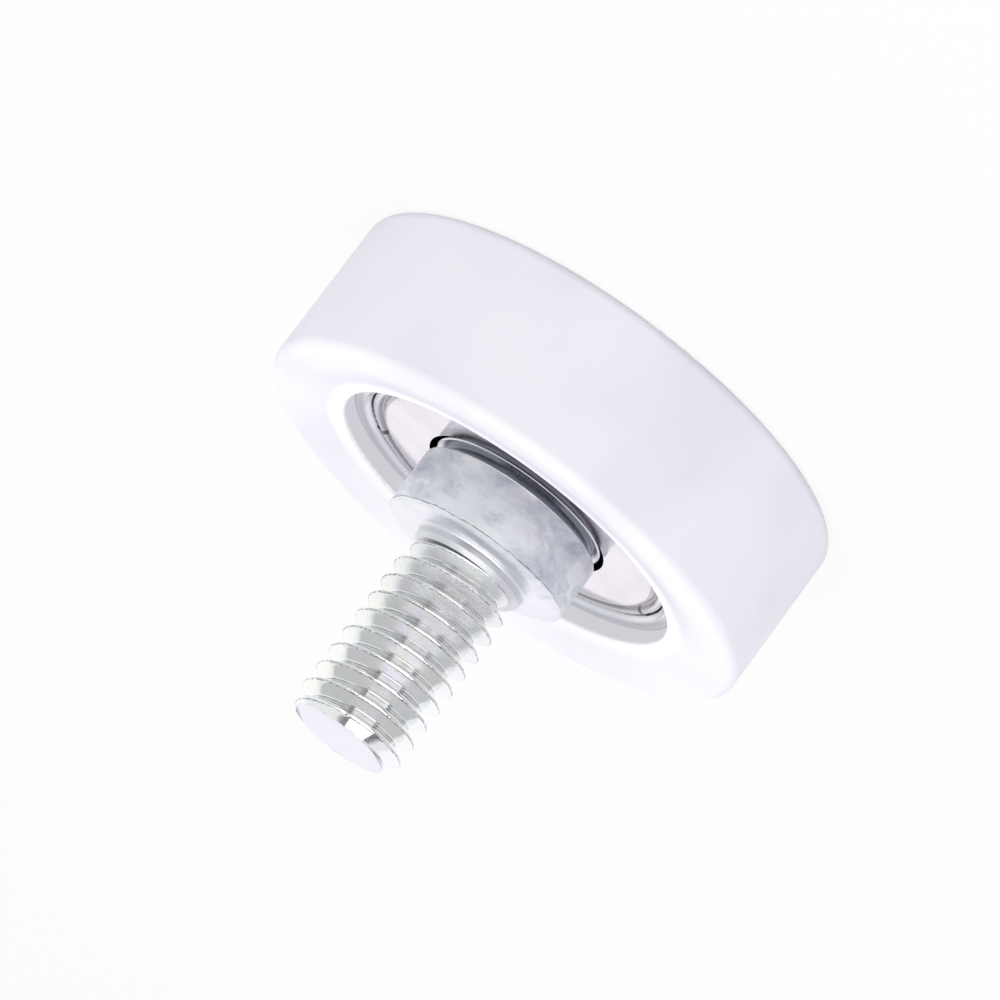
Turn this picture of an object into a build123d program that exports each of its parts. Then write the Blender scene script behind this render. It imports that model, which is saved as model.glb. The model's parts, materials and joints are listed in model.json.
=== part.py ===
from build123d import *
import os

# Sliding door roller: a plain white wheel moulded over a shielded ball bearing,
# carried by a riveted stud with a collar and a screw end. Millimetres.
# The bearing axis is +Z, the wheel's back face is at z = 0 and the stud points up.

# Wheel
wheel_width = 8.0
tread_wall = 3.25
tread_edge_round = 0.5
tread_edge_land = 0.3
lip_reach = 0.62
lip_edge_round = 0.15
lip_front_dish = 0.42
back_recess_depth = 0.75

# Bearing walls: bore, the metal under the inner raceway and over the outer one
bearing_bore = 6.0
bearing_width = 6.0
inner_wall = 1.45
outer_wall = 1.45
ring_chamfer = 0.3
inner_face_reach = 1.1
inner_face_step = 0.2

# Balls and raceways
ball_diameter = 3.5
ball_count = 7
raceway_conformity = 0.52
ball_clearance = 0.05
inner_shoulder_height = 0.6
outer_shoulder_height = 0.65

# Shield seats in the outer ring, and the inner ring's lands under the shield bores
shield_ledge = 0.7
shield_seat_depth = 0.9
shield_seat_chamfer = 0.2
shield_groove_height = 0.52
shield_groove_depth = 0.14
inner_land_step = 0.55
inner_land_width = 0.9
inner_land_chamfer = 0.06

# Shields, pressed from thin sheet: a flat, a valley, a rolled bead and a locking edge
shield_thickness = 0.2
shield_bore_clearance = 0.3
shield_flat_depth = 0.13
shield_flat_inset = 0.86
shield_valley_inset = 0.5
shield_valley_drop = 0.34
shield_bead_inset = 0.27
shield_bead_rise = 0.14
shield_bend_radius = 0.13
shield_edge_clearance = 0.03

# Cage, two pressed ribbons riveted between the balls
cage_thickness = 0.25
cage_shoulder_clearance = 0.42
pocket_clearance = 0.07
cage_rivet_diameter = 0.5
cage_rivet_head_diameter = 0.9
cage_rivet_head_height = 0.16
cage_rivet_head_chamfer = 0.08

# Stud, turned from bar, its back end spun over into a rivet head
collar_reach = 1.65
collar_thickness = 3.05
collar_edge_round = 0.12
collar_front_chamfer = 0.4
boss_reach = 1.1
boss_height = 0.35
screw_diameter = 5.8
screw_length = 10.1
screw_end_chamfer = 0.42
rivet_head_reach = 1.1
rivet_head_height = 0.55
rivet_head_round = 0.4
rivet_dimple_diameter = 3.0
rivet_dimple_depth = 0.3

# Heights that several pieces share
bearing_back = back_recess_depth
bearing_front = bearing_back + bearing_width
bearing_middle = bearing_back + bearing_width / 2
collar_back = bearing_front + boss_height
collar_front = collar_back + collar_thickness
stud_tip = collar_front + screw_length
rivet_back = bearing_back - rivet_head_height

# Radii and half widths that follow from the sizes above
half_width = bearing_width / 2
ball_radius = ball_diameter / 2
raceway_radius = raceway_conformity * ball_diameter
inner_raceway_bottom = bearing_bore / 2 + inner_wall
pitch_radius = inner_raceway_bottom + ball_clearance + ball_radius
outer_raceway_bottom = pitch_radius + ball_radius + ball_clearance
bearing_radius = outer_raceway_bottom + outer_wall
wheel_radius = bearing_radius + tread_wall
recess_radius = bearing_radius - lip_reach
inner_shoulder_radius = inner_raceway_bottom + inner_shoulder_height
outer_shoulder_radius = outer_raceway_bottom - outer_shoulder_height
inner_land_radius = inner_shoulder_radius - inner_land_step
inner_face_radius = bearing_bore / 2 + inner_face_reach
shield_seat_radius = outer_shoulder_radius + shield_ledge
shield_shelf = half_width - shield_seat_depth
shield_bore_radius = inner_land_radius + shield_bore_clearance
ball_spacing = 360 / ball_count

# Sections are drawn with x as radius: one from the wheel's back, one from the bearing's middle
wheel_section = Plane.XZ
bearing_section = Plane.XZ.shift_origin((0, 0, bearing_middle))
middle_plane = Plane.XY.offset(bearing_middle)


# Tyre: a channel whose lips hold the bearing by the edges of its two faces
with BuildPart() as tyre:
    with BuildSketch(wheel_section) as channel:
        with BuildLine():
            Polyline(
                (recess_radius, 0),
                (wheel_radius, 0),
                (wheel_radius, wheel_width),
                (wheel_radius - tread_edge_round - tread_edge_land, wheel_width),
                (recess_radius, wheel_width - lip_front_dish),
                close=True,
            )
        make_face()
        fillet(channel.vertices().group_by(Axis.X)[-1], tread_edge_round)
        fillet(channel.vertices().group_by(Axis.X)[0], lip_edge_round)
    revolve(axis=Axis.Z)
    with BuildSketch(bearing_section) as bearing_seat:
        Rectangle(bearing_radius, bearing_width, align=(Align.MIN, Align.CENTER))
        chamfer(bearing_seat.vertices().group_by(Axis.X)[-1], ring_chamfer)
    revolve(axis=Axis.Z, mode=Mode.SUBTRACT)
tyre.part.label = "tyre"

# Outer ring: raceway, two shoulders, and a grooved seat for each shield
with BuildPart() as outer_ring:
    with BuildSketch(bearing_section) as outer_half:
        with Locations((bearing_radius, 0)):
            Rectangle(
                bearing_radius - outer_shoulder_radius,
                bearing_width,
                align=(Align.MAX, Align.CENTER),
            )
        chamfer(outer_half.vertices().group_by(Axis.X)[-1], ring_chamfer)
        with Locations((shield_seat_radius, half_width), (shield_seat_radius, -half_width)):
            Rectangle(
                shield_seat_radius - outer_shoulder_radius,
                2 * shield_seat_depth,
                align=(Align.MAX, Align.CENTER),
                mode=Mode.SUBTRACT,
            )
        chamfer(outer_half.vertices().group_by(Axis.Y)[-1].sort_by(Axis.X)[0], shield_seat_chamfer)
        chamfer(outer_half.vertices().group_by(Axis.Y)[0].sort_by(Axis.X)[0], shield_seat_chamfer)
        groove_middle = shield_shelf + shield_groove_height / 2
        with Locations((shield_seat_radius, groove_middle), (shield_seat_radius, -groove_middle)):
            Rectangle(
                shield_groove_depth,
                shield_groove_height,
                align=(Align.MIN, Align.CENTER),
                mode=Mode.SUBTRACT,
            )
        with Locations((outer_raceway_bottom - raceway_radius, 0)):
            Circle(raceway_radius, mode=Mode.SUBTRACT)
    revolve(axis=Axis.Z)
outer_ring.part.label = "outer_ring"

# Inner ring: bore, raceway between two shoulders, and at each side a lower land below the face
with BuildPart() as inner_ring:
    with BuildSketch(bearing_section) as inner_half:
        with Locations((bearing_bore / 2, 0)):
            Rectangle(
                inner_shoulder_radius - bearing_bore / 2,
                bearing_width,
                align=(Align.MIN, Align.CENTER),
            )
        chamfer(inner_half.vertices().group_by(Axis.X)[0], ring_chamfer)
        with Locations((inner_land_radius, half_width), (inner_land_radius, -half_width)):
            Rectangle(
                inner_shoulder_radius - inner_land_radius,
                2 * inner_land_width,
                align=(Align.MIN, Align.CENTER),
                mode=Mode.SUBTRACT,
            )
        with Locations((inner_face_radius, half_width), (inner_face_radius, -half_width)):
            Rectangle(
                inner_land_radius - inner_face_radius,
                2 * inner_face_step,
                align=(Align.MIN, Align.CENTER),
                mode=Mode.SUBTRACT,
            )
        land_corners = inner_half.vertices().filter_by_position(
            Axis.X, inner_land_radius - inner_land_chamfer, inner_shoulder_radius
        )
        chamfer(land_corners.sort_by(Axis.Y)[-1], inner_land_chamfer)
        chamfer(land_corners.sort_by(Axis.Y)[0], inner_land_chamfer)
        with Locations((inner_raceway_bottom + raceway_radius, 0)):
            Circle(raceway_radius, mode=Mode.SUBTRACT)
    revolve(axis=Axis.Z)
inner_ring.part.label = "inner_ring"

# Shields: the sheet's middle line, from the bore edge out to the edge locked in the groove
shield_flat = half_width - shield_flat_depth - shield_thickness / 2
shield_edge_radius = shield_seat_radius + shield_groove_depth - shield_edge_clearance
shield_edge_middle = shield_edge_radius - shield_thickness / 2
with BuildPart() as shield_front:
    with BuildSketch(bearing_section):
        with BuildLine():
            FilletPolyline(
                (shield_bore_radius, shield_flat),
                (shield_seat_radius - shield_flat_inset, shield_flat),
                (shield_seat_radius - shield_valley_inset, shield_flat - shield_valley_drop),
                (shield_seat_radius - shield_bead_inset, shield_flat + shield_bead_rise),
                (shield_edge_middle, shield_shelf + shield_thickness),
                radius=shield_bend_radius,
            )
        trace(line_width=shield_thickness)
    revolve(axis=Axis.Z)
shield_front.part.label = "shield_front"

with BuildPart() as shield_back:
    mirror(shield_front.part, about=middle_plane)
shield_back.part.label = "shield_back"

# Balls, one node each
balls = []
for index in range(ball_count):
    with BuildPart(middle_plane) as ball:
        with PolarLocations(pitch_radius, 1, start_angle=index * ball_spacing):
            Sphere(ball_radius)
    ball.part.label = f"ball_{index + 1}"
    balls.append(ball.part)

# Cage: a ribbon with a spherical pocket over each ball and a flat between pockets
cage_inner_radius = inner_shoulder_radius + cage_shoulder_clearance
cage_outer_radius = outer_shoulder_radius - cage_shoulder_clearance
pocket_radius = ball_radius + pocket_clearance
pocket_back_radius = pocket_radius + cage_thickness
with BuildPart(middle_plane) as cage_front:
    with BuildSketch(middle_plane):
        Circle(pitch_radius + pocket_back_radius)
        Circle(pitch_radius - pocket_back_radius, mode=Mode.SUBTRACT)
    extrude(amount=cage_thickness)
    with PolarLocations(pitch_radius, ball_count):
        Sphere(pocket_back_radius)
    with BuildSketch(middle_plane):
        Circle(cage_outer_radius)
        Circle(cage_inner_radius, mode=Mode.SUBTRACT)
    extrude(amount=pocket_back_radius, mode=Mode.INTERSECT)
    with PolarLocations(pitch_radius, ball_count):
        Sphere(pocket_radius, mode=Mode.SUBTRACT)
    with PolarLocations(pitch_radius, ball_count, start_angle=ball_spacing / 2):
        Hole(cage_rivet_diameter / 2)
cage_front.part.label = "cage_front"

with BuildPart() as cage_back:
    mirror(cage_front.part, about=middle_plane)
cage_back.part.label = "cage_back"

# Cage rivets: a shank through both ribbons and a low chamfered head on each side
with BuildPart(middle_plane) as cage_rivet:
    with BuildSketch(middle_plane):
        Circle(cage_rivet_diameter / 2)
    extrude(amount=cage_thickness)
    with BuildSketch(middle_plane.offset(cage_thickness)):
        Circle(cage_rivet_head_diameter / 2)
    extrude(amount=cage_rivet_head_height)
    chamfer(cage_rivet.faces().sort_by(Axis.Z)[-1].edges(), cage_rivet_head_chamfer)
    mirror(about=middle_plane)

with BuildPart() as cage_rivets:
    with PolarLocations(pitch_radius, ball_count, start_angle=ball_spacing / 2):
        add(cage_rivet.part)
cage_rivets.part.label = "cage_rivets"

# Stud: rivet head, bearing spigot, boss, collar and screw end in one turning
spigot_radius = bearing_bore / 2
rivet_head_radius = spigot_radius + rivet_head_reach
boss_radius = spigot_radius + boss_reach
collar_radius = spigot_radius + collar_reach
screw_radius = screw_diameter / 2
with BuildPart() as stud:
    with BuildSketch(wheel_section) as stud_half:
        with BuildLine():
            Polyline(
                (0, rivet_back),
                (rivet_head_radius, rivet_back),
                (rivet_head_radius, bearing_back),
                (spigot_radius, bearing_back),
                (spigot_radius, bearing_front),
                (boss_radius, bearing_front),
                (boss_radius, collar_back),
                (collar_radius, collar_back),
                (collar_radius, collar_front),
                (screw_radius, collar_front),
                (screw_radius, stud_tip - screw_end_chamfer),
                (screw_radius - screw_end_chamfer, stud_tip),
                (0, stud_tip),
                close=True,
            )
        make_face()
        fillet(stud_half.vertices().group_by(Axis.Y)[0].sort_by(Axis.X)[-1], rivet_head_round)
        fillet(stud_half.vertices().group_by(Axis.X)[-1].sort_by(Axis.Y)[0], collar_edge_round)
        chamfer(stud_half.vertices().group_by(Axis.X)[-1].sort_by(Axis.Y)[-1], collar_front_chamfer)
    revolve(axis=Axis.Z)
    with BuildSketch(wheel_section):
        with BuildLine():
            Polyline(
                (0, rivet_back),
                (rivet_dimple_diameter / 2, rivet_back),
                (0, rivet_back + rivet_dimple_depth),
                close=True,
            )
        make_face()
    revolve(axis=Axis.Z, mode=Mode.SUBTRACT)
stud.part.label = "stud"

os.makedirs("parts", exist_ok=True)
pieces = [tyre, outer_ring, inner_ring, shield_front, shield_back]
pieces += [cage_front, cage_back, cage_rivets, stud]
for piece in pieces:
    export_step(piece.part, f"parts/{piece.part.label}.step")
for ball_part in balls:
    export_step(ball_part, f"parts/{ball_part.label}.step")
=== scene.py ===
import json
import math

import bmesh
import bpy
from mathutils import Matrix, Vector, noise


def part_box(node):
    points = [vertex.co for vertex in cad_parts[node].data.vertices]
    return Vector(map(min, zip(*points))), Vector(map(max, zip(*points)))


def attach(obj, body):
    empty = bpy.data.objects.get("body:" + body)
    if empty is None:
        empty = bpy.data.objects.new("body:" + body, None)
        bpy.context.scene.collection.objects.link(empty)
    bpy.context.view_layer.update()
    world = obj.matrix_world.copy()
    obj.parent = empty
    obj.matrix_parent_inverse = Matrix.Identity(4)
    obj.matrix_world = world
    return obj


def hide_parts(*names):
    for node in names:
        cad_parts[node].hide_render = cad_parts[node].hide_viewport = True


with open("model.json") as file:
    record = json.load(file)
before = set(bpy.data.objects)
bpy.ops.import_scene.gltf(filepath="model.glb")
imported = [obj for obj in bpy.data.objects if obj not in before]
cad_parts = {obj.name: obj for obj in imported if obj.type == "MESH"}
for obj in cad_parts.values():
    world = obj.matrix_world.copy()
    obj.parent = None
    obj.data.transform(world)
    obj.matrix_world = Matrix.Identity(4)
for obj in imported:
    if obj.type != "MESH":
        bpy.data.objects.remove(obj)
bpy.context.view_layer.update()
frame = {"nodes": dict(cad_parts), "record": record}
nodes = frame["nodes"]
mounts = {mount["name"]: mount for mount in frame["record"]["mounts"]}
mm = 0.001

# Sizes read from the frame
stud_low, stud_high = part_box("stud")
ring_low, ring_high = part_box("inner_ring")
bearing_back = ring_low.z
bearing_front = ring_high.z
bearing_middle = (bearing_back + bearing_front) / 2
shield_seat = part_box("shield_front")[1].x
collar_radius = stud_high.x
collar_front = mounts["collar_seat"]["pos_m"][2]
rivet_back = stud_low.z
stud_tip = stud_high.z
crest_radius = mounts["stud_screw"]["dims"]["r_mm"] * mm
recess_step = 0.1 * mm
recess_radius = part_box("outer_ring")[1].x + recess_step
wheel_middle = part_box("tyre")[1].z / 2

# Collar, with the shares of its side and face where rows of points lie
collar_thickness = 3.05 * mm
collar_back = collar_front - collar_thickness
collar_back_round = 0.12 * mm
collar_side_rows = (0.6, 0.35, 0.1, 0.02)
collar_face_rows = (0.06, 0.3, 0.6, 0.9)
collar_bevel = 0.3 * mm
collar_bevel_swing = 0.18 * mm
collar_bevel_wide_side = math.radians(130)
collar_bevel_least = 0.06 * mm
collar_burr = 0.06 * mm
bevel_lean = 2.0
corner_share = 0.08
dent_share = 0.3

# Bearing spigot between the boss and the rivet head, and the plain neck
spigot_radius = 3.0 * mm
shoulder_width = 1.1 * mm
boss_radius = spigot_radius + shoulder_width
rivet_radius = spigot_radius + shoulder_width
rivet_round = 0.4 * mm
dimple_radius = 1.5 * mm
dimple_depth = 0.3 * mm
dimple_middle_share = 0.02
neck_radius = 2.85 * mm
neck_foot_round = 0.15 * mm
neck_length = 0.6 * mm
neck_end = collar_front + neck_length
neck_end_bevel = 0.22 * mm
turned_segments = 240

# Metric thread, cut down at the tip's chamfer and faded out at the neck; flats and softness are
# shares of its pitch
thread_pitch = 1.0 * mm
thread_half_angle = math.radians(30)
thread_root_flat = 0.15
thread_crest_flat = 0.05
thread_flank = (1 - thread_root_flat - thread_crest_flat) / 2
thread_depth = thread_flank * thread_pitch / math.tan(thread_half_angle)
thread_softness = 0.028
thread_crest_start = 0.09 * mm
thread_dent = 0.028 * mm
thread_dent_sharpness = 6
thread_segments = 200
runout_radius = 2.6 * mm
runout_depth = 0.8
runout_length = 1.2 * mm
tip_radius = 2.48 * mm
tip_chamfer = 0.42 * mm

# Rows of points on the thread: beside the crest and the root in widths of its softness, and
# between them in shares of the flank
soft_shifts = (-1, -0.5, 0, 0.5, 1)
crest_rows = (0.4, 1.0, 1.6)
flank_rows = (0.25, 0.45, 0.65, 0.82)
root_rows = (-1.2, -0.4, 0.4, 1.2)

# Ripples round the axis, as layers of (waves, strength, seed)
burr_ripples = ((14, 1.0, 0.0), (46, 0.7, 3.0))
dent_ripples = ((30, 1.0, 7.0),)
rim_shade_ripples = ((46, 0.7, 5.0), (110, 0.5, 9.0))

# Ripples along the thread, as (waves, strength, seed's step from row to row)
thread_dent_ripple = (50, 1.0, 1.7)
crest_shade_ripple = (80, 2.0, 1.3)
root_shade_ripple = (20, 0.6, 0.7)

# Painted shade along the collar's rim and in the thread's crests and roots
painted_shade_layer = "soot"
# Colour of the painted shade, also used for the shields' crimp marks
shade_and_crimp_colour = (0.08, 0.08, 0.1)
rim_shade = 0.75
rim_shade_side = math.radians(-70)
rim_shade_middle = 0.35
rim_shade_swing = 0.9
crest_shade = 0.5
crest_shade_reach = 1.2
root_shade = 0.6

# Painted shade with dark oil and grime in the step under the collar
shade_and_grime_colour = (0.3, 0.32, 0.36)
shade_and_grime_height = 0.11 * mm
shade_and_grime_fade = 0.06 * mm
shade_and_grime_foot = 0.05 * mm

# In all materials, stops are (noise level, colour); a roughness is its low and high value, then
# the noise levels where it has them; a relief is (depth, strength); and a band is where a colour
# starts and ends, as distances from the edge that it is measured from

# Nylon: clouded, with painted light in the recess round the bearing and painted shade on the near side of
# its lip
nylon_spots = 6 * mm
nylon_stops = (
    (0.36, (0.845, 0.837, 0.89)),
    (0.5, (0.89, 0.88, 0.925)),
    (0.66, (0.905, 0.895, 0.935)),
)
nylon_grain = 0.22 * mm
nylon_roughness = (0.42, 0.56, 0.3, 0.7)
nylon_relief = (0.003 * mm, 0.4)
nylon_gloss = 0.3
recess_painted_light = (1.0, 0.985, 1.0)
recess_fade = 0.3 * mm
recess_lip_band = (0.4 * mm, 0.2 * mm)
lip_painted_shade = (0.84, 0.845, 0.87)
lip_shade_band = (0.5 * mm, 1.6 * mm)
lip_shade_side = (1 * mm, 7 * mm)

# Bearing rings, with painted shade and oil beside the boss and painted shade down in the shields' seats
ring_lines = 0.12 * mm
ring_stops = ((0.3, (0.66, 0.655, 0.685)), (0.7, (0.79, 0.785, 0.815)))
ring_specks = 0.25 * mm
ring_roughness = (0.18, 0.27, 0.35, 0.65)
ring_relief = (0.002 * mm, 0.15)
ring_oil_and_shade_band = (0.02 * mm, 0.05 * mm)
seat_shade = 0.3 * mm
seat_shade_fade = 0.06 * mm
seat_shade_band = (0.04 * mm, 0.09 * mm)

# Shields, with painted shade in a valley and in a line along their rim
shield_spots = 2.5 * mm
shield_stops = ((0.35, (0.77, 0.735, 0.77)), (0.65, (0.83, 0.795, 0.83)))
shield_specks = 0.3 * mm
shield_roughness = (0.07, 0.11, 0.4, 0.75)
shield_relief = (0.006 * mm, 0.2)
shield_rim_band = (0.1 * mm, 0.04 * mm)
valley_inset = 0.56 * mm
valley_width = 0.22 * mm
valley_strength = 0.8
valley_painted_shade = (0.14, 0.14, 0.16)

# Crimps that hold each shield; start and width are in degrees
crimp_count = 8
crimp_start = 29.0
crimp_width = 3.0
crimp_core = 0.6
crimp_band = (0.66 * mm, 0.58 * mm)

# Cage and balls
cage_spots = 0.8 * mm
cage_stops = ((0.3, (0.4, 0.39, 0.38)), (0.7, (0.58, 0.57, 0.56)))
cage_roughness = (0.3, 0.5)
cage_grain = 0.12 * mm
cage_relief = (0.004 * mm, 0.5)
ball_spots = 1.2 * mm
ball_stops = ((0.3, (0.68, 0.68, 0.7)), (0.7, (0.78, 0.78, 0.8)))
ball_roughness = (0.05, 0.12)

# Zinc plate on the neck, the collar's face, the thread and the tip
plate_spots = 1.8 * mm
neck_stops = ((0.35, (0.66, 0.67, 0.69)), (0.65, (0.72, 0.73, 0.75)))
neck_band = (0.02 * mm, 0.1 * mm)
neck_end_fade = 0.05 * mm
# The collar's face is the same plate with painted light
face_painted_light_stops = ((0.35, (0.85, 0.855, 0.9)), (0.65, (0.9, 0.9, 0.95)))
thread_stops = ((0.35, (0.91, 0.92, 0.915)), (0.65, (0.95, 0.95, 0.955)))
thread_dulling = (0.9, 0.9, 0.9)
thread_clear_length = 4 * mm
tip_colour = (0.82, 0.815, 0.885)
tip_band = (0.03 * mm, 0.01 * mm)

# Zinc plate on the collar's side, with one brighter patch
side_spots = 2.4 * mm
side_stretch = (1, 1, 1.6)
side_stops = (
    (0.4, (0.58, 0.615, 0.68)),
    (0.47, (0.72, 0.745, 0.8)),
    (0.54, (0.8, 0.82, 0.865)),
    (0.6, (0.93, 0.945, 0.965)),
)
side_band = (0.03 * mm, 0.01 * mm)
bright_patch_side = math.radians(-74)
bright_patch_colour = (0.95, 0.97, 0.99)
bright_patch_turn = (0.78, 0.97)
bright_patch_heights = (0.5 * mm, 1.5 * mm)
bright_patch_share = (0.3, 1.0, 0.38, 0.52)

# Faint rainbow stains of the plate, stronger on the thread than on the collar
stain_spots = 2.2 * mm
stain_stops = (
    (0.32, (0.94, 0.985, 1.0)),
    (0.44, (1.0, 0.995, 0.93)),
    (0.54, (0.99, 0.96, 1.0)),
    (0.68, (0.95, 1.0, 0.97)),
)
stain_strength = (0.5, 0.25)

# Roughness of the plate, from the collar to the tip, and more on the collar's side
wear_roughness = (0.34, 0.1)
wear_start = 0.3 * mm
wear_end = 3 * mm
side_roughness = 0.12
side_roughness_band = (0.2 * mm, 0.1 * mm)
plate_grain = 0.3 * mm
plate_speckle = (-0.04, 0.06, 0.35, 0.65)
plate_dents = 0.45 * mm
plate_relief = (0.012 * mm, 0.35)

# Meshing
merge_distance = 0.00002 * mm
crisp_angle = math.radians(32)

# Directions and colours that the floor and the room share
white = (1, 1, 1)
near_side = (0, -1, 0)
right_side = (1, 0, 0)

# Floor. A pair is how far a direction has to point towards a side for a colour to start and end
floor_radius = 2.0
floor_segments = 96
floor_gap = 0.02 * mm
floor_colour = (0.8, 0.8, 0.81)
floor_roughness = 0.9
floor_gloss = 0.1
floor_glow = 0.88
# Painted reflection for the metal: the floor's front painted grey, and a glowing white card with a dark rim
# painted on it
front_painted_shade = (0.575, 0.585, 0.595)
front_edge = (-0.6, -0.5)
card_side = math.radians(14)
card_reach = 44 * mm
card_reach_fade = 1.06
card_painted_glow = (1.45, 1.45, 1.45)
card_edge = (0.86, 0.88)
card_rim_painted_shade = (0.1, 0.1, 0.11)
card_rim_edge = (0.71, 0.79)

# Room, as the metal shows it, with stops that go from the backdrop and from the left
room_white = (1.05, 1.04, 1.07)
room_grey = (0.87, 0.88, 0.9)
room_stops = ((0.25, room_white), (0.275, room_grey), (1.0, room_grey))
room_tints = (
    (0.2, (0.97, 0.96, 1.0)),
    (0.5, white),
    (0.66, (1.0, 1.0, 0.95)),
    (0.8, (0.97, 1.0, 1.0)),
)
strip_colour = (0.1, 0.1, 0.11)
strip_bottom = (0.06, 0.1)
strip_top = (0.42, 0.48)
strip_side = (0.6, 0.7)
soft_box_direction = (-0.2, 0.28, 0.94)
soft_box_colour = (1.5, 1.5, 1.5)
soft_box_edge = (0.983, 0.986)
soft_box_frame = (0.2, 0.2, 0.21)
soft_box_frame_edge = (0.945, 0.968)

# Lamp, in metres and watts
lamp_place = (0.0, -0.25, 0.39)
lamp_width = 0.7
lamp_height = 0.16
lamp_power = 1.05

# View, fitted to the photograph's ellipses
view_tilt = math.radians(73.72)
view_roll = math.radians(216.81)
view_distance = 300 * mm
view_clip = 10 * mm
view_focal_px = 6651.7
image_px = 1000
view_centre = Vector((0, 0, 8.0 * mm))
view_aim_right = 0.06 * mm
view_aim_up = 1.24 * mm
view_toward = Vector((0, -math.sin(view_tilt), math.cos(view_tilt)))
sensor_width = 36.0


def add(tree, kind, inputs=None, **settings):
    """Adds a node, sets its properties, and links or sets its inputs."""
    node = tree.nodes.new(kind)
    for key, value in settings.items():
        setattr(node, key, value)
    for key, value in (inputs or {}).items():
        if isinstance(value, bpy.types.NodeSocket):
            tree.links.new(value, node.inputs[key])
        else:
            node.inputs[key].default_value = value
    return node


def new_material(name, metallic):
    """An empty material with its Principled shader, and the object's own coordinates."""
    material = bpy.data.materials.new(name)
    material.use_nodes = True
    tree = material.node_tree
    shader = tree.nodes["Principled BSDF"]
    shader.inputs["Metallic"].default_value = metallic
    place = add(tree, "ShaderNodeTexCoord").outputs["Object"]
    return material, tree, shader, place


def ramp(tree, value, *stops):
    """A colour ramp over a value, as (position, colour) stops."""
    node = add(tree, "ShaderNodeValToRGB", {"Fac": value})
    elements = node.color_ramp.elements
    while len(elements) < len(stops):
        elements.new(0.5)
    for element, (position, colour) in zip(elements, stops):
        element.position = position
        element.color = (*colour, 1)
    return node.outputs["Color"]


def spread(tree, value, low, high, start=0.0, end=1.0):
    """Maps a value from start..end to low..high."""
    limits = {"From Min": start, "From Max": end, "To Min": low, "To Max": high}
    return add(tree, "ShaderNodeMapRange", {"Value": value, **limits}).outputs["Result"]


def rises(tree, value, start, end):
    """Goes from 0 at start to 1 at end."""
    return spread(tree, value, 0.0, 1.0, start, end)


def falls(tree, value, start, end):
    """Goes from 1 at start to 0 at end."""
    return spread(tree, value, 1.0, 0.0, start, end)


def sums(tree, operation, first, second):
    """One step of arithmetic on two values."""
    return add(tree, "ShaderNodeMath", {0: first, 1: second}, operation=operation).outputs["Value"]


def overlap(tree, first, second):
    """The share of a place that is in both of two areas."""
    return sums(tree, "MULTIPLY", first, second)


def away_from(tree, value, middle):
    """How far a value is from a middle one, either way."""
    return sums(tree, "ABSOLUTE", sums(tree, "SUBTRACT", value, middle), 0.0)


def with_alpha(colour):
    """A colour with its fourth number, or a link as it is."""
    return colour if isinstance(colour, bpy.types.NodeSocket) else (*colour, 1)


def blend(tree, share, first, second, blend_type="MIX"):
    """Goes from the first colour to the second by a share."""
    inputs = {"Factor": share, "A": with_alpha(first), "B": with_alpha(second)}
    return add(tree, "ShaderNodeMix", inputs, data_type="RGBA", blend_type=blend_type).outputs["Result"]


def mottle(tree, place, size, detail=3.0, roughness=0.55, warp=0.0):
    """Noise whose spots are about this size."""
    look = {"Scale": 1 / size, "Detail": detail, "Roughness": roughness, "Distortion": warp}
    return add(tree, "ShaderNodeTexNoise", {"Vector": place, **look}).outputs["Fac"]


def stretched(tree, place, factors):
    """Coordinates scaled along each axis, for streaks."""
    return add(tree, "ShaderNodeVectorMath", {0: place, 1: factors}, operation="MULTIPLY").outputs["Vector"]


def level_part(tree, place):
    """The part of a place or direction that is square to the bearing axis."""
    return stretched(tree, place, (1, 1, 0))


def direction_of(tree, place):
    """The direction of a place from the origin."""
    return add(tree, "ShaderNodeVectorMath", {0: place}, operation="NORMALIZE").outputs["Vector"]


def radius_of(tree, place):
    """Distance from the bearing axis, in metres."""
    flat = level_part(tree, place)
    return add(tree, "ShaderNodeVectorMath", {0: flat}, operation="LENGTH").outputs["Value"]


def height_of(tree, place):
    """Height along the bearing axis: in metres for a place, from -1 to 1 for a direction."""
    return add(tree, "ShaderNodeSeparateXYZ", {"Vector": place}).outputs["Z"]


def facing(tree, place, direction):
    """How far towards a side: in metres for a place, from -1 to 1 for a direction."""
    inputs = {0: place, 1: Vector(direction).normalized()}
    return add(tree, "ShaderNodeVectorMath", inputs, operation="DOT_PRODUCT").outputs["Value"]


def turned_lines(tree, place, spacing):
    """Fine rings round the axis, as left by turning or grinding."""
    inputs = {"W": radius_of(tree, place), "Scale": 1 / spacing, "Detail": 2.0}
    return add(tree, "ShaderNodeTexNoise", inputs, noise_dimensions="1D").outputs["Fac"]


def coat(tree, shader, colour, roughness):
    """Gives a shader its colour and its roughness."""
    tree.links.new(colour, shader.inputs["Base Color"])
    tree.links.new(roughness, shader.inputs["Roughness"])


def bump(tree, shader, height, depth, strength):
    """Bump of this depth in metres on the shader's normal."""
    node = add(tree, "ShaderNodeBump", {"Height": height, "Distance": depth, "Strength": strength})
    tree.links.new(node.outputs["Normal"], shader.inputs["Normal"])


def recess_area(tree, place, radius):
    """The recess round the bearing, on both faces, up to its lip."""
    near = falls(tree, radius, recess_radius, recess_radius + recess_fade)
    height = away_from(tree, height_of(tree, place), wheel_middle)
    low = falls(tree, height, *(wheel_middle - depth for depth in recess_lip_band))
    return overlap(tree, near, low)


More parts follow.
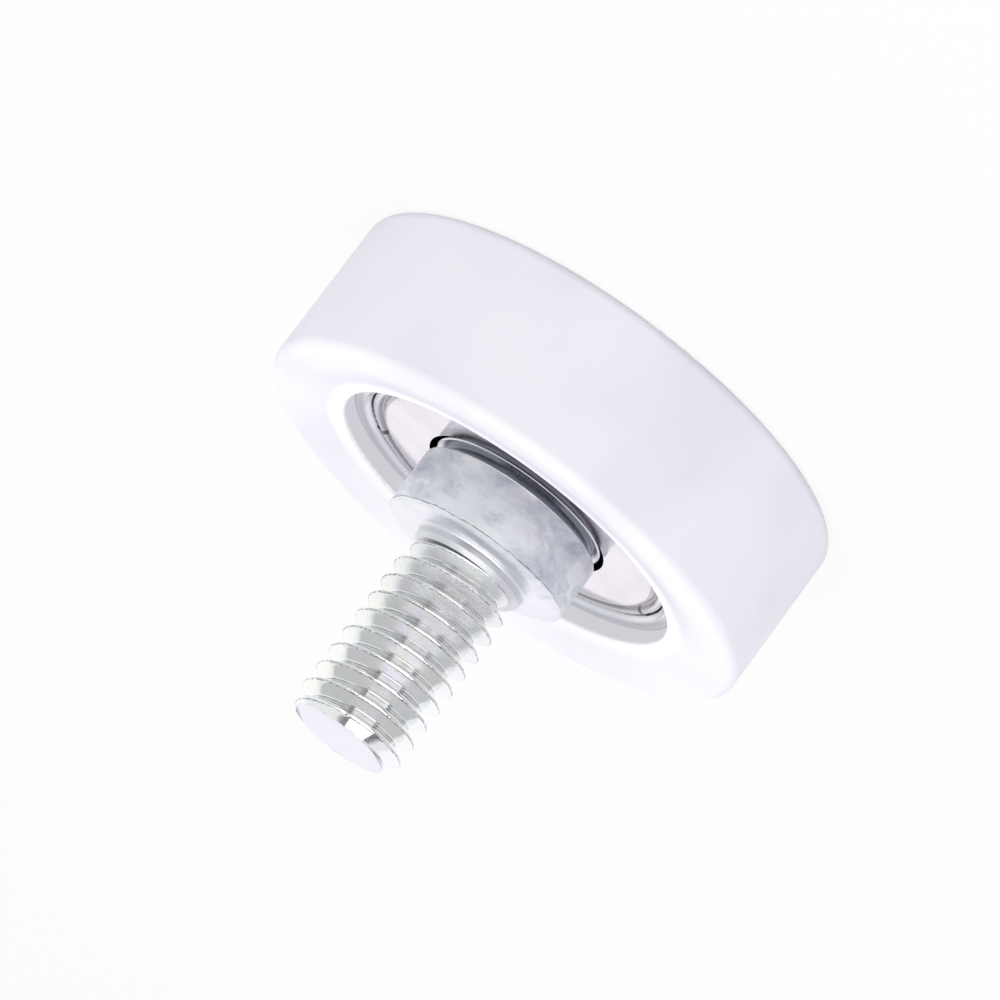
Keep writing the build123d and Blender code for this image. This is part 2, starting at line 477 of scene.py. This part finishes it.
def nylon():
    """Wheel: near-white moulded plastic with a faint cool cast and cloudy patches, painted light in its
    recess and painted shade beside its lip.
    """
    material, tree, shader, place = new_material("white_nylon", 0.0)
    radius = radius_of(tree, place)
    cloud = mottle(tree, place, nylon_spots, detail=1.0, roughness=0.4)
    colour = ramp(tree, cloud, *nylon_stops)
    # Painted shade on the near side of the lip
    lip = falls(tree, radius, *(recess_radius + width for width in lip_shade_band))
    side = rises(tree, facing(tree, place, near_side), *lip_shade_side)
    lip_shaded = blend(tree, 1.0, colour, lip_painted_shade, "MULTIPLY")
    colour = blend(tree, overlap(tree, lip, side), colour, lip_shaded)
    # Painted light in the recess round the bearing
    colour = blend(tree, recess_area(tree, place, radius), colour, recess_painted_light)
    grain = mottle(tree, place, nylon_grain, detail=4.0)
    coat(tree, shader, colour, spread(tree, grain, *nylon_roughness))
    shader.inputs["Specular IOR Level"].default_value = nylon_gloss
    bump(tree, shader, grain, *nylon_relief)
    return material


def ring_steel():
    """Bearing rings: ground steel with fine rings and small specks, with painted shade beside the boss and
    in the shields' seats.
    """
    material, tree, shader, place = new_material("ground_steel", 1.0)
    radius = radius_of(tree, place)
    lines = turned_lines(tree, place, ring_lines)
    colour = ramp(tree, lines, *ring_stops)
    # Painted shade, with oil, in the corner beside the boss
    oiled_and_shaded = falls(tree, radius, *(boss_radius + width for width in ring_oil_and_shade_band))
    colour = blend(tree, oiled_and_shaded, colour, shade_and_grime_colour)
    # Painted shade down in the shields' seats
    height = away_from(tree, height_of(tree, place), bearing_middle)
    shade_top = bearing_front - bearing_middle - seat_shade
    inside = falls(tree, height, shade_top - seat_shade_fade, shade_top)
    seat = falls(tree, radius, *(shield_seat + width for width in seat_shade_band))
    colour = blend(tree, overlap(tree, inside, seat), colour, shade_and_crimp_colour)
    specks = mottle(tree, place, ring_specks, detail=4.0)
    coat(tree, shader, colour, spread(tree, specks, *ring_roughness))
    bump(tree, shader, lines, *ring_relief)
    return material


def crimp_marks(tree, place):
    """Short dark marks across each shield's bead, where it is crimped into the outer ring."""
    parts = add(tree, "ShaderNodeSeparateXYZ", {"Vector": place}).outputs
    angle = sums(tree, "ARCTAN2", parts["Y"], parts["X"])
    crimps = sums(tree, "MULTIPLY", angle, crimp_count / (2 * math.pi))
    crimps = sums(tree, "SUBTRACT", crimps, crimp_start * crimp_count / 360)
    away = sums(tree, "PINGPONG", crimps, 0.5)
    half_width = crimp_width * crimp_count / 360 / 2
    across = falls(tree, away, half_width * crimp_core, half_width)
    bead = rises(tree, radius_of(tree, place), *(shield_seat - inset for inset in crimp_band))
    return overlap(tree, across, bead)


def shield_steel():
    """Shields: bright pressed sheet, almost a mirror, with a faint warm cast, painted shade in a valley and
    along the rim, and dark crimp marks.
    """
    material, tree, shader, place = new_material("bright_sheet", 1.0)
    radius = radius_of(tree, place)
    cloud = mottle(tree, place, shield_spots, detail=2.0)
    colour = ramp(tree, cloud, *shield_stops)
    # Painted shade in a valley and along the rim
    away = away_from(tree, radius, shield_seat - valley_inset)
    valley = spread(tree, away, valley_strength, 0.0, 0.0, valley_width)
    rim = rises(tree, radius, *(shield_seat - inset for inset in shield_rim_band))
    colour = blend(tree, sums(tree, "MAXIMUM", valley, rim), colour, valley_painted_shade)
    colour = blend(tree, crimp_marks(tree, place), colour, shade_and_crimp_colour)
    specks = mottle(tree, place, shield_specks)
    coat(tree, shader, colour, spread(tree, specks, *shield_roughness))
    bump(tree, shader, cloud, *shield_relief)
    return material


def cage_steel():
    """Cage and its rivets: dull pressed strip."""
    material, tree, shader, place = new_material("pressed_strip", 1.0)
    cloud = mottle(tree, place, cage_spots)
    coat(tree, shader, ramp(tree, cloud, *cage_stops), spread(tree, cloud, *cage_roughness))
    bump(tree, shader, mottle(tree, place, cage_grain), *cage_relief)
    return material


def ball_steel():
    """Balls: polished steel with the faintest cloud."""
    material, tree, shader, place = new_material("polished_ball", 1.0)
    cloud = mottle(tree, place, ball_spots)
    coat(tree, shader, ramp(tree, cloud, *ball_stops), spread(tree, cloud, *ball_roughness))
    return material


def bright_plate(tree, height, radius, cloud):
    """Plate off the collar's side: grey on the neck, painted light on the collar's face, bright on the
    thread.
    """
    colour = ramp(tree, cloud, *neck_stops)
    # Painted light on the collar's face
    outside = rises(tree, radius, *(neck_radius + width for width in neck_band))
    colour = blend(tree, outside, colour, ramp(tree, cloud, *face_painted_light_stops))
    worn = ramp(tree, cloud, *thread_stops)
    dull = blend(tree, 1.0, worn, thread_dulling, "MULTIPLY")
    clear = rises(tree, height, collar_front, stud_tip - thread_clear_length)
    threaded = rises(tree, height, neck_end, neck_end + neck_end_fade)
    colour = blend(tree, threaded, colour, blend(tree, clear, dull, worn))
    tip = rises(tree, height, *(stud_tip - depth for depth in tip_band))
    return blend(tree, tip, colour, tip_colour)


def bright_patch(tree, place, patches):
    """The brighter patch of the collar's side."""
    outward = direction_of(tree, level_part(tree, place))
    middle = (math.cos(bright_patch_side), math.sin(bright_patch_side), 0)
    near = rises(tree, facing(tree, outward, middle), *bright_patch_turn)
    high = rises(tree, height_of(tree, place), *(collar_back + height for height in bright_patch_heights))
    return overlap(tree, overlap(tree, near, high), spread(tree, patches, *bright_patch_share))


def side_plate(tree, place):
    """Plate on the collar's side: clouded grey, with one brighter patch."""
    stretch = stretched(tree, place, side_stretch)
    patches = mottle(tree, stretch, side_spots, detail=6.0, roughness=0.64, warp=0.3)
    dull = ramp(tree, patches, *side_stops)
    return blend(tree, bright_patch(tree, place, patches), dull, bright_patch_colour)


def plate_colour(tree, place):
    """Zinc plate with its stains, with painted shade and grime under the collar and painted shade along its
    edges.
    """
    height = height_of(tree, place)
    radius = radius_of(tree, place)
    bright = bright_plate(tree, height, radius, mottle(tree, place, plate_spots, detail=2.0))
    side = rises(tree, radius, *(collar_radius - inset for inset in side_band))
    plate = blend(tree, side, bright, side_plate(tree, place))
    tint = ramp(tree, mottle(tree, place, stain_spots, detail=1.0), *stain_stops)
    stained = spread(tree, radius, *stain_strength, crest_radius, collar_radius)
    plate = blend(tree, stained, plate, tint, "MULTIPLY")
    # Painted shade, with grime, in the step under the collar
    shade_and_grime_top = bearing_front + shade_and_grime_height
    shade_and_grime = falls(tree, height, shade_and_grime_top, shade_and_grime_top + shade_and_grime_fade)
    above = rises(tree, height, bearing_front - shade_and_grime_foot, bearing_front)
    plate = blend(tree, overlap(tree, shade_and_grime, above), plate, shade_and_grime_colour)
    # Painted shade along the collar's rim and the thread, from the mesh's layer
    soot = add(tree, "ShaderNodeAttribute", attribute_name=painted_shade_layer).outputs["Fac"]
    return blend(tree, soot, plate, shade_and_crimp_colour)


def plate_roughness(tree, place):
    """Worn bright towards the tip, duller near the collar and dullest on its side."""
    worn_from = collar_front - wear_start
    worn_to = stud_tip - wear_end
    wear = spread(tree, height_of(tree, place), *wear_roughness, worn_from, worn_to)
    side_limits = (collar_radius - inset for inset in side_roughness_band)
    side = spread(tree, radius_of(tree, place), 0.0, side_roughness, *side_limits)
    specks = spread(tree, mottle(tree, place, plate_grain, detail=4.0, roughness=0.6), *plate_speckle)
    return sums(tree, "ADD", sums(tree, "ADD", wear, side), specks)


def zinc_plate():
    """Stud: bright zinc plate, cloudy, with faint rainbow stains and a slightly uneven surface."""
    material, tree, shader, place = new_material("bright_zinc", 1.0)
    coat(tree, shader, plate_colour(tree, place), plate_roughness(tree, place))
    bump(tree, shader, mottle(tree, place, plate_dents, detail=3.0, roughness=0.5), *plate_relief)
    return material


def arc(centre, radius, start, end, steps=6):
    """Points of a round corner, as (radius, height) round a centre, in degrees."""
    angles = [math.radians(start + (end - start) * step / steps) for step in range(steps + 1)]
    return [(centre[0] + radius * math.cos(a), centre[1] + radius * math.sin(a)) for a in angles]


def share_of(value):
    """A value kept between 0 and 1."""
    return min(1.0, max(0.0, value))


def ripple(angle, waves, seed):
    """Smooth noise round the axis with about this many waves, from -1 to 1."""
    reach = waves / math.pi
    return noise.noise(Vector((math.cos(angle) * reach, math.sin(angle) * reach, seed)))


def ripples(angle, layers):
    """Layers of ripple added up."""
    return sum(strength * ripple(angle, waves, seed) for waves, strength, seed in layers)


def row_ripple(angle, row, layer):
    """Ripple that differs from row to row."""
    waves, strength, seed_step = layer
    return strength * ripple(angle, waves, row * seed_step)


def rings_to_mesh(mesh, rings):
    """Joins rings of vertices, and closes both ends to a point on the axis."""
    count = len(rings[0])
    for low, high in zip(rings, rings[1:]):
        for index in range(count):
            after = (index + 1) % count
            mesh.faces.new((low[index], low[after], high[after], high[index]))
    for ring, flip in ((rings[0], True), (rings[-1], False)):
        centre = mesh.verts.new((0, 0, ring[0].co.z))
        for index in range(count):
            corners = (ring[index], ring[(index + 1) % count], centre)
            mesh.faces.new(corners[::-1] if flip else corners)


def rivet_outline():
    """Half outline of the rivet head, the bearing spigot and the boss's foot, from the back up."""
    middle = (dimple_radius * dimple_middle_share, rivet_back + dimple_depth)
    outline = [middle, (dimple_radius, rivet_back)]
    outline += arc((rivet_radius - rivet_round, rivet_back + rivet_round), rivet_round, -90, 0)
    outline += [(rivet_radius, bearing_back), (spigot_radius, bearing_back)]
    return outline + [(spigot_radius, bearing_front), (boss_radius, bearing_front)]


def bevel_at(angle):
    """Width of the collar's uneven and bruised bevel at an angle."""
    bevel = collar_bevel + collar_bevel_swing * math.cos(angle - collar_bevel_wide_side)
    return max(collar_bevel_least, bevel + collar_burr * ripples(angle, burr_ripples))


def collar_outline(angle):
    """Half outline of the collar at an angle."""
    bevel = bevel_at(angle)
    corner = (collar_radius, collar_front - bevel)
    edge = (collar_radius - bevel * bevel_lean, collar_front)
    dent = collar_burr * max(0.0, ripples(angle, dent_ripples)) * dent_share
    centre = (collar_radius - collar_back_round, collar_back + collar_back_round)
    outline = arc(centre, collar_back_round, -45, 0)
    side = corner[1] - centre[1]
    outline += [(collar_radius, corner[1] - side * share) for share in collar_side_rows]
    slope = (edge[0] - corner[0], edge[1] - corner[1])
    outline += [corner, (corner[0] + slope[0] * corner_share, corner[1] + slope[1] * corner_share)]
    outline += [(corner[0] + slope[0] / 2 - dent, corner[1] + slope[1] / 2 - dent), edge]
    face = edge[0] - neck_radius - neck_foot_round
    return outline + [(edge[0] - face * share, collar_front) for share in collar_face_rows]


def neck_outline():
    """Half outline of the plain neck under the collar, down to where the thread runs out."""
    foot = (neck_radius + neck_foot_round, collar_front + neck_foot_round)
    outline = arc(foot, neck_foot_round, 270, 180)
    outline += [(neck_radius, neck_end - neck_end_bevel)]
    return outline + [(neck_radius - neck_end_bevel, neck_end), (neck_radius / 2, neck_end)]


def painted_shade_on_rim(angle):
    """Painted shade along the collar's rim, strongest on one side."""
    side = share_of(rim_shade_middle + rim_shade_swing * math.cos(angle - rim_shade_side))
    return side * share_of(rim_shade + ripples(angle, rim_shade_ripples))


def turned_rings(mesh, soot):
    """The stud's turned part as rings of vertices, with painted shade along the collar's rim."""
    outlines = []
    for index in range(turned_segments):
        angle = 2 * math.pi * index / turned_segments
        corner = (collar_radius, collar_front - bevel_at(angle))
        outline = []
        for point in rivet_outline() + collar_outline(angle) + neck_outline():
            radius, height = point
            vertex = mesh.verts.new((radius * math.cos(angle), radius * math.sin(angle), height))
            if point == corner:
                vertex[soot] = painted_shade_on_rim(angle)
            outline.append(vertex)
        outlines.append(outline)
    return list(zip(*outlines))


def thread_stations():
    """Places along one pitch where the profile gets a row of points, close together at its corners."""
    crest = thread_crest_flat / 2
    root = 0.5 - thread_root_flat / 2
    near = [crest] + [crest + thread_softness * step for step in crest_rows]
    near += [crest + (root - crest) * share for share in flank_rows]
    near += [root + thread_softness * step for step in root_rows]
    return [-place for place in reversed(near)] + near + [0.5]


def groove(phase):
    """Share of the thread's depth that is cut away, 0 on the crest and 1 in the root."""
    away = abs((phase + 0.5) % 1 - 0.5)
    return share_of((away - thread_crest_flat / 2) / thread_flank)


def thread_radius(angle, height):
    """Radius of the threaded end at an angle and height."""
    phase = (height - thread_crest_start) / thread_pitch - angle / (2 * math.pi)
    cut = sum(groove(phase + shift * thread_softness) for shift in soft_shifts) / len(soft_shifts)
    share = share_of((height - neck_end) / runout_length)
    crest = runout_radius + (crest_radius - thread_dent - runout_radius) * share
    depth = thread_depth * (runout_depth + (1 - runout_depth) * share)
    dent = row_ripple(angle, round(phase), thread_dent_ripple)
    dent *= thread_dent * (1 - cut) ** thread_dent_sharpness
    chamfer = tip_radius + (crest_radius - tip_radius) * (stud_tip - height) / tip_chamfer
    return min(crest - cut * depth + dent, chamfer)


def thread_points():
    """Rows of points that follow the helix from inside the neck to the tip, level at both ends."""
    start = collar_front + neck_length / 2
    first = math.floor(start / thread_pitch) - 2
    last = math.ceil(stud_tip / thread_pitch) + 1
    rows = []
    for turn in range(first, last):
        for station in thread_stations():
            points = []
            for index in range(thread_segments):
                around = index / thread_segments
                angle = 2 * math.pi * around
                height = thread_crest_start + thread_pitch * (turn + station + around)
                height = min(stud_tip, max(start, height))
                radius = thread_radius(angle, height)
                points.append((radius * math.cos(angle), radius * math.sin(angle), height))
            rows.append(points)
    return rows


def painted_shade_on_row(row, index):
    """Painted shade at a point of a row: dashes beside each crest and a thin line in each root."""
    stations = thread_stations()
    station = stations[row % len(stations)]
    angle = 2 * math.pi * index / thread_segments
    if station == stations[-1]:
        return share_of(root_shade + row_ripple(angle, row, root_shade_ripple))
    if 0 < station - thread_crest_flat / 2 < thread_softness * crest_shade_reach:
        return share_of(crest_shade + row_ripple(angle, row, crest_shade_ripple))
    return 0.0


def thread_to_mesh(mesh, soot):
    """Joins the rows into one closed shell, each row going on into the row a turn above it."""
    rows = []
    for row, points in enumerate(thread_points()):
        rows.append([mesh.verts.new(point) for point in points])
        # Each point gets its painted shade for the crests and roots
        for index, vertex in enumerate(rows[-1]):
            vertex[soot] = painted_shade_on_row(row, index)
    per_turn = len(thread_stations())
    for number in range(len(rows) - 1):
        low, high = rows[number], rows[number + 1]
        if number + 1 + per_turn < len(rows):
            low = low + rows[number + per_turn][:1]
            high = high + rows[number + 1 + per_turn][:1]
        for index in range(len(low) - 1):
            mesh.faces.new((low[index], low[index + 1], high[index + 1], high[index]))
    bmesh.ops.remove_doubles(mesh, verts=mesh.verts, dist=merge_distance)
    rims = [edge for edge in mesh.edges if edge.is_boundary]
    bmesh.ops.holes_fill(mesh, edges=rims, sides=0)


def finish_mesh(mesh, name, material):
    """Turns a bmesh into a smooth-shaded object with crisp edges."""
    bmesh.ops.recalc_face_normals(mesh, faces=mesh.faces)
    for face in mesh.faces:
        face.smooth = True
    for edge in mesh.edges:
        if len(edge.link_faces) == 2 and edge.calc_face_angle() > crisp_angle:
            edge.smooth = False
    data = bpy.data.meshes.new(name)
    mesh.to_mesh(data)
    mesh.free()
    data.materials.append(material)
    piece = bpy.data.objects.new(name, data)
    bpy.context.scene.collection.objects.link(piece)
    return piece


def make_stud(material):
    """The stud with its worn collar and cut thread, in place of the plain CAD solid."""
    mesh = bmesh.new()
    # Layer that carries the painted shade on the collar's rim and the thread
    soot = mesh.verts.layers.float.new(painted_shade_layer)
    thread_to_mesh(mesh, soot)
    rings_to_mesh(mesh, turned_rings(mesh, soot))
    stud = finish_mesh(mesh, "stud_dressed", material)
    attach(stud, "stud")
    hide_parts("stud")


def dress(names, material):
    """Gives CAD nodes a material."""
    for name in names:
        for slot in nodes[name].material_slots:
            slot.material = material


def painted_floor_reflection(tree, place):
    """Painted reflection of the floor that only the metal sees: white behind, painted grey in front, with a
    glowing white card in a dark rim painted on it.
    """
    toward = direction_of(tree, place)
    front = rises(tree, facing(tree, toward, near_side), *front_edge)
    colour = blend(tree, front, white, front_painted_shade)
    ahead = facing(tree, toward, (-math.sin(card_side), -math.cos(card_side), 0))
    beyond = rises(tree, radius_of(tree, place), card_reach, card_reach * card_reach_fade)
    rim = overlap(tree, rises(tree, ahead, *card_rim_edge), beyond)
    colour = blend(tree, rim, colour, card_rim_painted_shade)
    card = overlap(tree, rises(tree, ahead, *card_edge), beyond)
    return blend(tree, card, colour, card_painted_glow)


def floor_white():
    """Matt floor that glows to the camera and the metal, by a share that leaves the shadow to be seen."""
    material, tree, plain, place = new_material("floor_white", 0.0)
    plain.inputs["Base Color"].default_value = with_alpha(floor_colour)
    plain.inputs["Roughness"].default_value = floor_roughness
    plain.inputs["Specular IOR Level"].default_value = floor_gloss
    path = add(tree, "ShaderNodeLightPath").outputs
    seen = sums(tree, "MAXIMUM", path["Is Camera Ray"], path["Is Glossy Ray"])
    share = sums(tree, "MULTIPLY", seen, floor_glow)
    # The metal sees the floor's painted reflection
    colour = blend(tree, path["Is Glossy Ray"], white, painted_floor_reflection(tree, place))
    glow = add(tree, "ShaderNodeEmission", {"Color": colour, "Strength": 1.0})
    shaders = {0: share, 1: plain.outputs[0], 2: glow.outputs[0]}
    mixed = add(tree, "ShaderNodeMixShader", shaders)
    tree.links.new(mixed.outputs[0], tree.nodes["Material Output"].inputs["Surface"])
    return material


def make_floor():
    """A plain round floor, a hair below the wheel's back face."""
    mesh = bmesh.new()
    bmesh.ops.create_circle(mesh, cap_ends=True, segments=floor_segments, radius=floor_radius)
    floor = finish_mesh(mesh, "floor", floor_white())
    floor.location.z = -floor_gap


def dark_strip(tree, place):
    """A dark strip of the room, low down on the camera's side, which draws fine dark lines in the metal."""
    height = height_of(tree, place)
    level = overlap(tree, rises(tree, height, *strip_bottom), falls(tree, height, *strip_top))
    return overlap(tree, level, rises(tree, facing(tree, place, near_side), *strip_side))


def room_colour(tree, place):
    """A pale backdrop facing a grey room, with a dark strip and a soft box in a dark frame."""
    depth = rises(tree, facing(tree, place, view_toward), -1.0, 1.0)
    across = rises(tree, facing(tree, place, right_side), -1.0, 1.0)
    tint = ramp(tree, across, *room_tints)
    room = blend(tree, 1.0, ramp(tree, depth, *room_stops), tint, "MULTIPLY")
    room = blend(tree, dark_strip(tree, place), room, strip_colour)
    near_box = facing(tree, place, soft_box_direction)
    room = blend(tree, rises(tree, near_box, *soft_box_frame_edge), room, soft_box_frame)
    return blend(tree, rises(tree, near_box, *soft_box_edge), room, soft_box_colour)


def make_world():
    """White to the camera, and the room to everything else."""
    world = bpy.data.worlds.new("studio")
    bpy.context.scene.world = world
    world.use_nodes = True
    tree = world.node_tree
    place = add(tree, "ShaderNodeTexCoord").outputs["Generated"]
    path = add(tree, "ShaderNodeLightPath").outputs
    colour = blend(tree, path["Is Camera Ray"], room_colour(tree, place), white)
    background = tree.nodes["Background"]
    tree.links.new(colour, background.inputs["Color"])
    background.inputs["Strength"].default_value = 1.0


def make_lamp(name, place, width, height, power):
    """A soft rectangular lamp aimed at the roller, its width level."""
    data = bpy.data.lights.new(name, "AREA")
    data.shape = "RECTANGLE"
    data.size = width
    data.size_y = height
    data.energy = power
    lamp = bpy.data.objects.new(name, data)
    lamp.location = place
    lamp.rotation_euler = (Vector(place) - view_centre).to_track_quat("Z", "Y").to_euler()
    bpy.context.scene.collection.objects.link(lamp)


def make_camera():
    """The photograph's camera: a long lens, rolled so that the stud points down and left."""
    level_right = Vector(right_side)
    level_up = view_toward.cross(level_right)
    right = math.cos(view_roll) * level_right + math.sin(view_roll) * level_up
    up = math.cos(view_roll) * level_up - math.sin(view_roll) * level_right
    aim = view_centre + view_aim_right * right + view_aim_up * up
    turn = Matrix((right, up, view_toward)).transposed().to_4x4()
    data = bpy.data.cameras.new("camera")
    data.sensor_width = sensor_width
    data.lens = view_focal_px / image_px * sensor_width
    data.clip_start = view_clip
    camera = bpy.data.objects.new("camera", data)
    camera.matrix_world = Matrix.Translation(aim + view_distance * view_toward) @ turn
    bpy.context.scene.collection.objects.link(camera)
    bpy.context.scene.camera = camera


make_stud(zinc_plate())
dress(["tyre"], nylon())
dress(["outer_ring", "inner_ring"], ring_steel())
dress(["shield_front", "shield_back"], shield_steel())
dress(["cage_front", "cage_back", "cage_rivets"], cage_steel())
dress([name for name in nodes if name.startswith("ball_")], ball_steel())
make_floor()
make_world()
make_lamp("key", lamp_place, lamp_width, lamp_height, lamp_power)
make_camera()
bpy.context.scene.view_settings.view_transform = "Standard"
